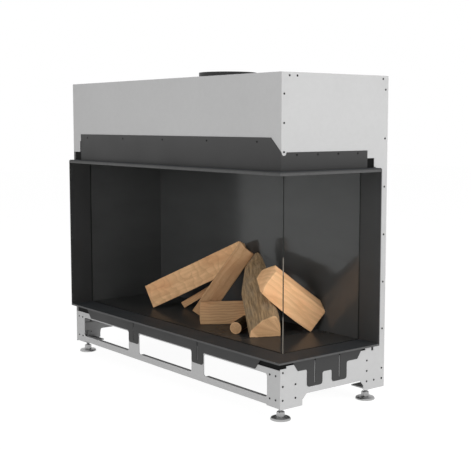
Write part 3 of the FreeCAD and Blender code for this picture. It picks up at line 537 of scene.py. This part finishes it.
def ramp(values, start, end):
    """From 0 at the start to 1 at the end by a straight line, and level outside them."""
    return np.clip((values - start) / (end - start), 0, 1)


def eased(share):
    """The smooth step: three squares less two cubes."""
    return share * share * (3 - 2 * share)


def lattice(cell, seed):
    """A repeatable value from 0 to 1 for each whole-number point, by mixing the bits of its coordinates."""
    code = (cell * hash_steps).sum(axis=1) + seed * hash_seed
    code = (code ^ (code >> 13)) & low_word
    code = (code * hash_mixer) & low_word
    return ((code ^ (code >> 16)) & low_half) / low_half


def noise(points, seed):
    """Value noise from -1 to 1: lattice values blended smoothly between the eight corners of each cell."""
    cell = np.floor(points).astype(np.int64)
    part = eased(points - cell)
    total = np.zeros(len(points))
    for corner in range(8):
        step = np.array((corner & 1, corner >> 1 & 1, corner >> 2 & 1))
        weight = np.where(step == 1, part, 1 - part).prod(axis=1)
        total += weight * lattice(cell + step, seed)
    return 2 * total - 1


def layered(points, seed, layers=3):
    """Noise plus half-strength copies of itself at double the frequency."""
    total = np.zeros(len(points))
    for i in range(layers):
        total += noise(points * 2 ** i, seed + i) / 2 ** i
    return total


# Pieces made from arrays
def new_piece(node, ending, points, faces, paint, body, smooth=True):
    """A mesh object at the origin from arrays of points and faces, which stands for a CAD node."""
    mesh = bpy.data.meshes.new(node + ending)
    mesh.from_pydata(points.tolist(), [], [list(map(int, face)) for face in faces])
    mesh.validate()
    mesh.polygons.foreach_set("use_smooth", np.full(len(mesh.polygons), smooth))
    mesh.materials.append(paint)
    piece = bpy.data.objects.new(node + ending, mesh)
    bpy.context.scene.collection.objects.link(piece)
    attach(piece, body)
    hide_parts(node)
    return piece


def remeshed(name, pitch):
    """Points, faces and outward directions of a CAD node's shape on an even grid of small faces."""
    bare = nodes[name].data.copy()
    bare.transform(nodes[name].matrix_world)
    holder = bpy.data.objects.new("remesh_holder", bare)
    bpy.context.scene.collection.objects.link(holder)
    modifier = holder.modifiers.new("grid", "REMESH")
    modifier.mode = "VOXEL"
    modifier.voxel_size = pitch
    graph = bpy.context.evaluated_depsgraph_get()
    fine = bpy.data.meshes.new_from_object(holder.evaluated_get(graph))
    points = np.empty(3 * len(fine.vertices))
    fine.vertices.foreach_get("co", points)
    outward = np.empty(3 * len(fine.vertices))
    fine.vertices.foreach_get("normal", outward)
    faces = [tuple(face.vertices) for face in fine.polygons]
    bpy.data.objects.remove(holder)
    bpy.data.meshes.remove(bare)
    bpy.data.meshes.remove(fine)
    return points.reshape(-1, 3), faces, outward.reshape(-1, 3)


def main_axes(points):
    """Middle and three axes of a cloud of points, longest spread first; no axis points downwards."""
    middle = (points.min(axis=0) + points.max(axis=0)) / 2
    spread = np.cov((points - points.mean(axis=0)).T)
    axes = np.linalg.eigh(spread)[1][:, ::-1].T
    return middle, axes * np.where(axes[:, 2:] < 0, -1, 1)


# Logs
def swell(local, axes, towards, amount, slide=0.0, power=2, lower=False):
    """Moves that draw one side of a log in or out, and slide it down the log.

    A point's share is a power of its reach in the given direction across the log, times its place along the
    log, counted from the other end than the one that swells.
    """
    place = (local[:, 0] - local[:, 0].min()) / np.ptp(local[:, 0])
    if lower:
        place = 1 - place
    reach = np.clip(local[:, 1:] @ np.array(towards), 0, None)
    share = place * (reach / reach.max()) ** power
    move = amount * (towards[0] * axes[1] + towards[1] * axes[2]) - slide * axes[0]
    return share[:, None] * move


def make_log(name, paint, pith, barked=False, end_dip=0.0, end_rake=0.0, swells=()):
    """A log with fibrous faces.

    The CAD shape on a fine grid, moved along its outward direction by layered noise drawn out along the
    log's axis. A barked log's round side is moved by ridges instead. A dip hollows the upper end by a
    parabola across the width, and a rake slants it by a straight line. Swells are added to that. Each point
    keeps its place along, across and out from the pith as the grain, and a barked log's end has a pale rim,
    a painted highlight where light catches its edge.
    """
    points, faces, outward = remeshed(name, log_pitch)
    middle, axes = main_axes(node_points(name))
    local = (points - middle) @ axes.T
    facing = outward @ axes.T
    half = np.abs(local).max(axis=0)
    grain = local - half * np.array(pith)
    seed = len(name) * letter_seed
    side = 1 - ramp(np.abs(facing[:, 0]), *end_facing)
    fibres = layered(local * fibre_cells, seed)
    waves = noise(local * wave_cells, seed + wave_seed)
    saw_marks = noise(local * saw_cells, seed + saw_seed)
    lift = side * (fibre_lift * fibres + wave_lift * waves) + (1 - side) * saw_lift * saw_marks
    bark = np.zeros(len(points))
    rim = np.zeros(len(points))
    if barked:
        bark = side * ramp(outward[:, 2], *bark_facing)
        ridges = 1 - np.abs(layered(local * ridge_cells, seed + ridge_seed))
        worn = wear_middle + wear_swing * noise(local * wear_cells, seed + wear_seed)
        lift = lift * (1 - bark) + bark * worn * ridge_lift * (ridges - ridge_middle)
        # The pale rim is a painted highlight, where light catches the end's edge
        reach = grain / (half * (1 + np.abs(pith)))
        rim = ramp(np.hypot(reach[:, 1], reach[:, 2]), *rim_highlight_span)
    points = points + outward * lift[:, None]
    near_end = ramp(local[:, 0], half[0] - end_reach, half[0])
    across = local[:, 1] / half[1]
    cut = end_dip * (1 - across ** 2) + end_rake * across
    points = points - axes[0] * (near_end * cut)[:, None]
    for settings in swells:
        points = points + swell(local, axes, **settings)
    piece = new_piece(name, "_moulded", points, faces, paint, "insert")
    kept = piece.data.attributes.new("grain", "FLOAT_VECTOR", "POINT")
    kept.data.foreach_set("vector", grain.ravel())
    for label, values in (("bark", bark), ("rim", rim), ("sawn", 1 - side)):
        mask = piece.data.attributes.new(label, "FLOAT", "POINT")
        mask.data.foreach_set("value", values)


# Turned and threaded pieces
def upright_axes(axis):
    """Three directions at right angles, the last one along the given axis."""
    up = np.array(axis, dtype=float)
    first = np.cross(up, (0.0, 0.0, 1.0) if abs(up[2]) < 0.9 else (0.0, 1.0, 0.0))
    first = first / np.linalg.norm(first)
    return np.stack((first, np.cross(up, first), up))


def ring_points(reach, angle, height):
    """Points at a reach, an angle and a height about an upright axis."""
    return np.stack(np.broadcast_arrays(reach * np.cos(angle), reach * np.sin(angle), height), axis=-1)


def ring_angles(segments):
    """Even steps round a circle."""
    return np.arange(segments) * 2 * math.pi / segments


def grid_faces(rows, segments):
    """Quads of a closed tube of rings, with a cap of one face on the first and last ring."""
    row, column = np.meshgrid(np.arange(rows - 1), np.arange(segments), indexing="ij")
    beside = (column + 1) % segments
    start = row * segments
    above = start + segments
    quads = np.stack((start + column, start + beside, above + beside, above + column), axis=-1)
    caps = [np.arange(segments)[::-1], (rows - 1) * segments + np.arange(segments)]
    return [*quads.reshape(-1, 4), *caps]


def turned(rows, foot, axis=(0, 0, 1), segments=24):
    """Rings of (radius, height, sides) about an axis; six sides make a hexagon of that corner radius."""
    angle = ring_angles(segments)
    rings = []
    for radius, height, sides in rows:
        reach = np.full(segments, radius)
        if sides:
            wedge = math.pi / sides
            reach = radius * math.cos(wedge) / np.cos(angle % (2 * wedge) - wedge)
        rings.append(ring_points(reach, angle, height))
    points = np.concatenate(rings) @ upright_axes(axis) + np.array(foot)
    return points, grid_faces(len(rows), segments)


def threaded(radius, depth, pitch, length, foot, segments=32, per_turn=6):
    """An upright screw thread: the radius falls and rises once per pitch, in step with the angle."""
    count = int(length / pitch * per_turn) + 1
    height = np.linspace(0.0, length, count)[:, None]
    angle = ring_angles(segments)
    phase = (height / pitch - angle / (2 * math.pi)) % 1.0
    reach = radius - depth * np.abs(2 * phase - 1)
    points = ring_points(reach, angle, height).reshape(-1, 3) + np.array(foot)
    return points, grid_faces(count, segments)


def joined(parts):
    """One set of points and faces from several."""
    points = []
    faces = []
    start = 0
    for some, own in parts:
        points.append(some)
        faces += [face + start for face in own]
        start += len(some)
    return np.concatenate(points), faces


def islands(name):
    """The separate solids of a CAD node, each as an array of its points.

    Points that agree to a micrometre are one, and the least label spreads along the edges until none changes.
    """
    places, index = np.unique(node_points(name).round(6), axis=0, return_inverse=True)
    index = index.reshape(-1)
    edges = np.array([edge.vertices for edge in nodes[name].data.edges])
    start = index[edges[:, 0]]
    end = index[edges[:, 1]]
    label = np.arange(len(places))
    while True:
        least = np.minimum(label[start], label[end])
        before = label.copy()
        np.minimum.at(label, start, least)
        np.minimum.at(label, end, least)
        label = label[label]
        if (label == before).all():
            break
    return [places[label == one] for one in np.unique(label)]


def make_screws(paint):
    """Pan-head screws with a hexagon socket, one for each screw of the CAD group, as rings about its axis."""
    parts = []
    for own in islands("panel_screws"):
        low = own.min(axis=0)
        high = own.max(axis=0)
        middle = (low + high) / 2
        along = int(np.argmax(high - low))
        flat = np.delete(own - middle, along, axis=1)
        reach = np.hypot(flat[:, 0], flat[:, 1])
        radius = reach.max()
        head = own[reach > 0.9 * radius]
        shank = reach[reach < 0.9 * radius].max()
        axis = np.zeros(3)
        axis[along] = np.sign(head[:, along].mean() - middle[along])
        thick = np.ptp(head[:, along])
        length = (high - low)[along]
        foot = middle - axis * length / 2
        seat = length - thick
        rows = [(0.5 * shank, 0.0, 0), (shank, 0.5 * shank, 0), (shank, seat, 0), (radius, seat, 0)]
        rows += [(radius, seat + 0.3 * thick, 0), (0.94 * radius, seat + 0.62 * thick, 0)]
        rows += [(0.8 * radius, seat + 0.86 * thick, 0), (0.6 * radius, length, 0)]
        rows += [(0.5 * radius, length, 6), (0.46 * radius, seat + 0.35 * thick, 6)]
        parts.append(turned(rows, foot, axis))
    points, faces = joined(parts)
    new_piece("panel_screws", "_turned", points, faces, paint, "insert", smooth=False)


def foot_middle(corner):
    """A foot's axis in plan."""
    pad = node_points(corner + "_foot_pad")
    return (pad.min(axis=0) + pad.max(axis=0))[:2] / 2


def make_pad(corner, paint):
    """A foot's pad, as rings: a rounded edge, a low dome that rises by a sine, and a neck round the stud."""
    pad = node_points(corner + "_foot_pad")
    x, y = foot_middle(corner)
    reach = np.hypot(pad[:, 0] - x, pad[:, 1] - y)
    rim = reach.max()
    height = pad[:, 2].max()
    neck = reach[pad[:, 2] > 0.99 * height].max()
    edge = pad[reach > 0.99 * rim, 2].max()
    between = (pad[:, 2] > 1.01 * edge) & (pad[:, 2] < 0.99 * height)
    ring = reach[between].max()
    dome = pad[between, 2].max()
    rows = [(0.96 * rim, 0.0, 0), (rim, 0.2 * edge, 0), (rim, 0.75 * edge, 0), (0.985 * rim, edge, 0)]
    for share in np.linspace(0.1, 1.0, dome_rings):
        rows.append((rim + (ring - rim) * share, edge + (dome - edge) * math.sin(share * math.pi / 2), 0))
    rows += [(ring + 0.6 * (neck - ring), 0.9 * height, 0), (neck, height, 0), (0.9 * neck, height, 0)]
    points, faces = turned(rows, (x, y, 0.0), segments=foot_segments)
    new_piece(corner + "_foot_pad", "_turned", points, faces, paint, corner + "_foot")


def make_stud(corner, paint):
    """A foot's stud: a chamfered hexagon as rings, and a rolled thread above it."""
    stud = node_points(corner + "_foot_stud")
    x, y = foot_middle(corner)
    reach = np.hypot(stud[:, 0] - x, stud[:, 1] - y)
    hexagon = reach.max()
    shank = reach.min()
    base = stud[:, 2].min()
    nut = np.ptp(stud[reach > 0.95 * hexagon, 2])
    flat = hexagon * math.cos(math.pi / 6)
    rows = [(flat, base, 0), (hexagon, base + 0.1 * nut, 6)]
    rows += [(hexagon, base + 0.9 * nut, 6), (flat, base + nut, 0)]
    length = np.ptp(stud[:, 2]) - nut
    bolt = threaded(shank, thread_depth * shank, thread_pitch, length, (x, y, base + nut))
    points, faces = joined([turned(rows, (x, y, 0.0), segments=foot_segments), bolt])
    name = corner + "_foot_stud"
    new_piece(name, "_threaded", points, faces, paint, corner + "_foot", smooth=False)


def make_knob(name, body, paint):
    """A fluted knob with a bore for its spindle and a pointer on its face.

    Rings of (radius, height, depth of flute) about the spindle, whose radius dips by a squared raised cosine
    for each flute. The face is dished by a parabola, and the pointer rises from it by a smooth step at its
    sides and its ends.
    """
    own = node_points(name)
    x = (own[:, 0].min() + own[:, 0].max()) / 2
    z = (own[:, 2].min() + own[:, 2].max()) / 2
    reach = np.hypot(own[:, 0] - x, own[:, 2] - z)
    rim = reach.max()
    back = own[:, 1].max()
    face = own[np.abs(own[:, 0] - x) > 0.5 * rim, 1].min()
    tall = back - face
    pointer = own[own[:, 1] < face - knob_near]
    high = face - pointer[:, 1].min()
    wide = np.abs(pointer[:, 0] - x).max()
    length = pointer[:, 2].max() - z
    bore = reach[own[:, 1] > back - knob_near].min()
    deep = back - own[(reach < 1.01 * bore) & (own[:, 1] > face + knob_near), 1].min()
    edge = knob_round * rim
    slim = knob_taper * rim
    rows = [(bore, deep, 0.0), (bore, 0.0, 0.0), (slim, 0.0, 0.0), (rim, rim - slim, 0.0)]
    rows += [(rim, 0.2 * tall, 0.0), (0.985 * rim, 0.26 * tall, 0.6), (0.98 * rim, 0.32 * tall, 1.0)]
    rows += [(0.975 * rim, 0.6 * tall, 1.0), (slim, tall - edge, 1.0)]
    for turn in np.linspace(0.15, 1.0, knob_edge_rings) * math.pi / 2:
        inset = edge * (1 - math.cos(turn))
        rows.append((slim - inset, tall - edge * (1 - math.sin(turn)), math.cos(turn)))
    inner = rows[-1][0]
    for share in np.linspace(0.97, 0.03, knob_face_rings):
        rows.append((share * inner, tall - knob_dish * (1 - share ** 2), 0.0))
    radius, height, depth = np.array(rows).T[:, :, None]
    angle = ring_angles(knob_segments)
    flute = knob_flute * rim * (0.5 + 0.5 * np.cos(knob_flutes * angle)) ** 2
    rings = ring_points(radius - depth * flute, angle, height).reshape(-1, 3)
    points = rings @ upright_axes((0, -1, 0)) + np.array((x, back, z))
    up = points[:, 2] - z
    sides = ramp(np.abs(points[:, 0] - x), wide, 0.5 * wide)
    ends = ramp(up, length, 0.8 * length) * ramp(up, 0.0, 0.2 * length)
    on_face = np.arange(len(points)) >= (len(rows) - knob_face_rings) * knob_segments
    points[:, 1] -= high * eased(sides * ends * on_face)
    new_piece(name, "_fluted", points, grid_faces(len(rows), knob_segments), paint, body)


# Paints on the CAD pieces
black_steel = plain_paint("blackened_steel", grey(0.02), grey(0.05), 0.45)
zinc_steel = plain_paint("zinc_steel", grey(0.38), grey(0.50), 0.42)
knob_paint = plain_paint("knob_plastic", grey(0.018), grey(0.03), 0.5, metallic=0.0)
# The glass channels' enamel is made much darker: partly their own black, partly painted shade of the groove
# where the glass meets the ledge
channel_shaded_paint = firebox_paint("black_channel_shaded", tone=0.010, gloss=1.2, rough=0.35)
# Painted shade: a duller copy of the firebox enamel, so the left wall looks darker as if shaded
left_wall_shaded_paint = firebox_paint("black_firebox_left_shaded", tone=0.060, gloss=1.30, rough=0.14)
floor_paint = firebox_paint("black_firebox_floor", tone=0.052, gloss=1.105, rough=0.15, ashy=True)
white_ceramic = plain_paint("white_ceramic", grey(0.62, 0.03), grey(0.75, 0.03), 0.55, metallic=0.0)
paint_slot("galvanised_sheet", galvanised_paint())
paint_slot("black_frame", frame_paint())
paint_slot("black_firebox", firebox_paint("black_firebox", tone=0.055, gloss=1.46, rough=0.13))
paint_slot("fibre_seal", plain_paint("fibre_seal", grey(0.008), grey(0.018), 0.85, metallic=0.0, bump=0.0004))
paint_slot("black_screws", black_steel)
paint_slot("flue_black", plain_paint("flue_black", grey(0.012), grey(0.02), 0.5, metallic=0.0))
paint_slot("stainless", plain_paint("stainless", grey(0.42), grey(0.55), 0.35))
paint_slot("brass", plain_paint("brass", (0.52, 0.33, 0.10), (0.68, 0.46, 0.16), 0.3))
paint_slot("pipe_aluminium", plain_paint("pipe_aluminium", grey(0.55), grey(0.68), 0.32))
paint_slot("valve_aluminium", plain_paint("valve_aluminium", grey(0.45), grey(0.56), 0.48))
paint_slot("white_ceramic", white_ceramic)
paint_slot("knob_plastic", knob_paint)
paint_node("firebox_left_wall", left_wall_shaded_paint)
paint_node("firebox_floor", floor_paint)
paint_node("lower_glass_channel", channel_shaded_paint)
paint_node("upper_glass_channel", channel_shaded_paint)
paint_node("side_glass", glass_paint("fire_side_glass", across="X"))
paint_node("front_glass", glass_paint("fire_front_glass", across="Y"))
soften("gas_valve", valve_edge)

# Pieces in place of CAD nodes; a log's pith is in half sizes of the log from its middle
# Each log's tone is partly its own colour and partly painted light and shade: the leaning log is made lighter
# as if lit, the plank and the floor log darker as if shaded, and the branch's very dark rind is painted shade
make_log("back_log",
         wood_paint("back_wood", tone=1.09, ring_pitch=0.011, ring_depth=0.3, figure=0.7),
         pith=(0.0, 0.6, -3.0))
make_log("plank_log",
         wood_paint("plank_wood", tone=0.67, ring_pitch=0.010, ring_depth=0.4, figure=0.3),
         pith=(0.0, -0.4, -2.6), end_dip=0.005, end_rake=-0.0055)
make_log("floor_log",
         wood_paint("floor_wood", tone=0.79, ring_pitch=0.009, ring_depth=0.6),
         pith=(0.0, 2.4, -2.0))
make_log("leaning_log",
         wood_paint("leaning_wood", tone=1.22, ring_pitch=0.017, ring_depth=0.35),
         pith=(0.0, -2.2, -1.5),
         swells=(dict(towards=(-0.565, -0.825), amount=0.036, slide=0.032),
                 dict(towards=(0.987, -0.16), amount=-0.016)))
make_log("splinter_log",
         wood_paint("splinter_wood", tone=0.98, ring_pitch=0.006),
         pith=(0.0, 3.0, -2.0))
make_log("branch_log",
         wood_paint("branch_wood", tone=0.70, ring_pitch=0.004, rind=0.22),
         pith=(0.0, 0.0, 0.0), barked=True)
make_log("bark_log",
         wood_paint("bark_wood", tone=1.0, ring_pitch=0.006, ring_depth=0.4),
         pith=(0.0, 0.0, -1.0), barked=True,
         swells=(dict(towards=(0.7, -0.714), amount=-0.013, power=4, lower=True),))
make_screws(black_steel)
for corner in ("front_left", "front_right", "rear_left", "rear_right"):
    make_pad(corner, zinc_steel)
    make_stud(corner, zinc_steel)
for use in ("flame", "pilot"):
    make_knob(use + "_control_knob", use + "_knob", knob_paint)


# Camera, light and floor
def make_camera():
    """The photo's camera, level from side to side."""
    data = bpy.data.cameras.new("photo_camera")
    data.lens = camera_lens
    data.sensor_width = camera_sensor
    data.sensor_fit = "HORIZONTAL"
    data.clip_end = camera_far
    camera = bpy.data.objects.new("photo_camera", data)
    camera.location = camera_place
    camera.rotation_euler = (math.radians(90 - camera_down), 0.0, math.radians(camera_yaw))
    bpy.context.scene.collection.objects.link(camera)
    bpy.context.scene.camera = camera


def make_sky():
    """White to the camera and in mirrors, softer light to everything else."""
    world = bpy.data.worlds.new("studio")
    bpy.context.scene.world = world
    world.use_nodes = True
    sky = Tree(world.node_tree)
    light = sky.add("ShaderNodeBackground")
    light.inputs["Strength"].default_value = sky_strength
    white = sky.add("ShaderNodeBackground")
    white.inputs["Color"].default_value = (1.0, 1.0, 1.0, 1.0)
    output = sky.add("ShaderNodeOutputWorld")
    sky.join(sky.choose(sky.seen(), light.outputs[0], white.outputs[0]), output.inputs["Surface"])


def make_floor():
    """Pale floor: white to the camera and in mirrors but for the shadow, and a plain bounce otherwise."""
    far = floor_half
    corners = [(-far, -far, 0.0), (far, -far, 0.0), (far, far, 0.0), (-far, far, 0.0)]
    mesh = bpy.data.meshes.new("floor")
    mesh.from_pydata(corners, [], [(0, 1, 2, 3)])
    floor = bpy.data.objects.new("floor", mesh)
    bpy.context.scene.collection.objects.link(floor)
    paint = Paint("pale_floor")
    bounce = greys((floor_bounce - floor_cloud, floor_bounce + floor_cloud))
    paint.set(Base_Color=paint.mix(paint.noise(3.0), *bounce), Roughness=0.9, Specular_IOR_Level=0.0)
    glow = paint.add("ShaderNodeEmission")
    glow.inputs["Strength"].default_value = floor_glow
    shade = paint.add("ShaderNodeBsdfDiffuse")
    shade.inputs["Color"].default_value = (*grey(floor_shade), 1.0)
    white = paint.add("ShaderNodeAddShader")
    paint.join(glow.outputs[0], white.inputs[0])
    paint.join(shade.outputs[0], white.inputs[1])
    paint.show(paint.choose(paint.seen(), paint.shader.outputs[0], white.outputs[0]))
    mesh.materials.append(paint.material)


def make_lamp(name, place, target, size, power):
    """A soft rectangular lamp that points at the target."""
    data = bpy.data.lights.new(name, "AREA")
    data.shape = "RECTANGLE"
    data.size = size[0]
    data.size_y = size[1]
    data.energy = power
    lamp = bpy.data.objects.new(name, data)
    lamp.location = place
    away = np.array(place) - np.array(target)
    flat = math.hypot(away[0], away[1])
    lamp.rotation_euler = (math.atan2(flat, away[2]), 0.0, math.atan2(away[0], -away[1]))
    lamp.visible_glossy = False
    lamp.visible_camera = False
    bpy.context.scene.collection.objects.link(lamp)


make_camera()
make_sky()
make_floor()
make_lamp("side_light", side_place, side_target, side_size, side_power)
make_lamp("front_light", front_place, front_target, front_size, front_power)
